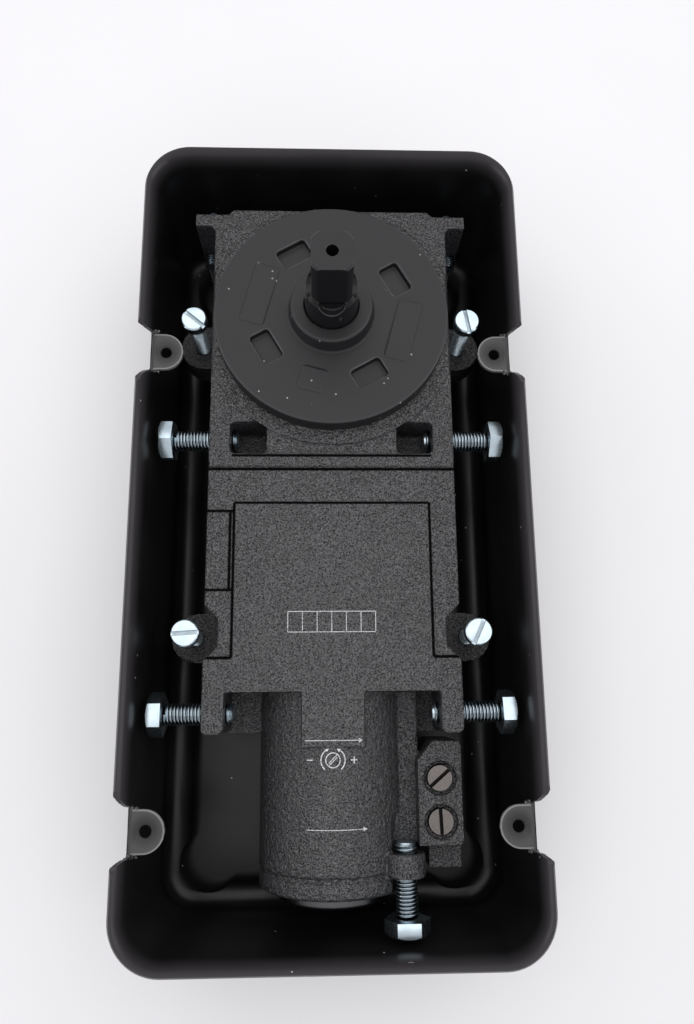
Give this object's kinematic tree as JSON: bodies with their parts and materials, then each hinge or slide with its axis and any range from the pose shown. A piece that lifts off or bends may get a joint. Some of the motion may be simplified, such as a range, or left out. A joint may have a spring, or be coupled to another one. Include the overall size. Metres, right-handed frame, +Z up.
{
  "type": "floor spring door closer",
  "caption": "Floor spring door closer: square spindle, heart cam, piston and coil spring in a cast body, held by adjusting screws in a sheet cement box.",
  "frame": {"origin": "bottom centre of the cement box", "axes": "+Z up along the spindle, +Y from the valve end towards the spindle end, +X to the valves' side"},
  "size_m": [0.146, 0.3024, 0.105],
  "materials": {
    "box_sheet": "satin black paint",
    "casting": "black painted sand casting",
    "lid_paint": "smooth black grey",
    "spindle_steel": "blackened, satin",
    "zinc": "bright zinc plate",
    "steel": "ground steel",
    "rubber": "nitrile",
    "spring_steel": "oil-hardened wire",
    "plug_steel": "turned, dark",
    "valve_brass": "dulled"
  },
  "bodies": {
    "housing": {"cement_box": "box_sheet", "closer_body": "casting", "lid": "lid_paint", "lid_o_ring": "rubber", "upper_bearing": "steel", "bearing_clip": "steel", "spindle_seal": "rubber", "lower_bearing": "steel", "thrust_washer": "steel", "main_spring": "spring_steel", "end_plug": "plug_steel", "plug_o_ring": "rubber"},
    "spindle_shaft": {"spindle": "spindle_steel", "heart_cam": "steel", "cam_key": "steel", "cam_clip": "steel"},
    "piston_slider": {"piston": "steel", "piston_ring": "rubber", "check_ball": "steel", "check_screw": "steel", "roller_pin": "steel"},
    "roller": {"cam_roller": "steel"},
    "closing_speed_screw": {"closing_valve": "valve_brass", "closing_valve_o_ring": "rubber"},
    "latching_speed_screw": {"latching_valve": "valve_brass", "latching_valve_o_ring": "rubber"},
    "side_bolt_far_left_move": {"side_bolt_far_left": "zinc"},
    "side_bolt_far_right_move": {"side_bolt_far_right": "zinc"},
    "side_bolt_near_left_move": {"side_bolt_near_left": "zinc"},
    "side_bolt_near_right_move": {"side_bolt_near_right": "zinc"},
    "end_bolt_move": {"end_bolt": "zinc"},
    "set_screw_left_move": {"set_screw_left": "zinc"},
    "set_screw_right_move": {"set_screw_right": "zinc"},
    "height_screw_far_left_move": {"height_screw_far_left": "zinc"},
    "height_screw_far_right_move": {"height_screw_far_right": "zinc"},
    "height_screw_near_left_move": {"height_screw_near_left": "zinc"},
    "height_screw_near_right_move": {"height_screw_near_right": "zinc"}
  },
  "joints": [
    {"name": "spindle_turn", "type": "hinge", "parent": "housing", "child": "spindle_shaft", "pos_m": [0, 0.0795, 0.031], "axis": [0, 0, 1], "range_deg": [0, 130]},
    {"name": "piston_travel", "type": "slide", "parent": "housing", "child": "piston_slider", "axis": [0, -1, 0], "range_m": [0, 0.014], "stiffness_N_per_m": 12000, "springref_m": -0.006, "deforming": ["main_spring"]},
    {"name": "roller_spin", "type": "hinge", "parent": "piston_slider", "child": "roller", "pos_m": [0, 0.0585, 0.031], "axis": [0, 0, 1], "continuous": true},
    {"name": "closing_valve_turn", "type": "hinge", "parent": "housing", "child": "closing_speed_screw", "pos_m": [0.0383, -0.0928, 0.045], "axis": [0, 0, 1], "range_deg": [-90, 180]},
    {"name": "latching_valve_turn", "type": "hinge", "parent": "housing", "child": "latching_speed_screw", "pos_m": [0.0383, -0.1077, 0.045], "axis": [0, 0, 1], "range_deg": [-90, 180]},
    {"name": "side_bolt_far_left_adjust", "type": "slide", "parent": "housing", "child": "side_bolt_far_left_move", "axis": [-1, 0, 0], "range_m": [-0.009, 0.0022]},
    {"name": "side_bolt_near_left_adjust", "type": "slide", "parent": "housing", "child": "side_bolt_near_left_move", "axis": [-1, 0, 0], "range_m": [-0.009, 0.0022]},
    {"name": "set_screw_left_adjust", "type": "slide", "parent": "housing", "child": "set_screw_left_move", "axis": [0, 1, 0], "range_m": [-0.006, 0.004]},
    {"name": "height_screw_far_left_adjust", "type": "slide", "parent": "housing", "child": "height_screw_far_left_move", "axis": [0, 0, 1], "range_m": [0, 0.008]},
    {"name": "height_screw_near_left_adjust", "type": "slide", "parent": "housing", "child": "height_screw_near_left_move", "axis": [0, 0, 1], "range_m": [0, 0.008]},
    {"name": "side_bolt_far_right_adjust", "type": "slide", "parent": "housing", "child": "side_bolt_far_right_move", "axis": [1, 0, 0], "range_m": [-0.009, 0.0022]},
    {"name": "side_bolt_near_right_adjust", "type": "slide", "parent": "housing", "child": "side_bolt_near_right_move", "axis": [1, 0, 0], "range_m": [-0.009, 0.0022]},
    {"name": "set_screw_right_adjust", "type": "slide", "parent": "housing", "child": "set_screw_right_move", "axis": [0, 1, 0], "range_m": [-0.006, 0.004]},
    {"name": "height_screw_far_right_adjust", "type": "slide", "parent": "housing", "child": "height_screw_far_right_move", "axis": [0, 0, 1], "range_m": [0, 0.008]},
    {"name": "height_screw_near_right_adjust", "type": "slide", "parent": "housing", "child": "height_screw_near_right_move", "axis": [0, 0, 1], "range_m": [0, 0.008]},
    {"name": "end_bolt_adjust", "type": "slide", "parent": "housing", "child": "end_bolt_move", "axis": [0, -1, 0], "range_m": [-0.006, 0.002]}
  ],
  "couplings": [
    {"joint": "spindle_turn", "follows": "piston_travel", "rad_per_m": 162.06}
  ]
}
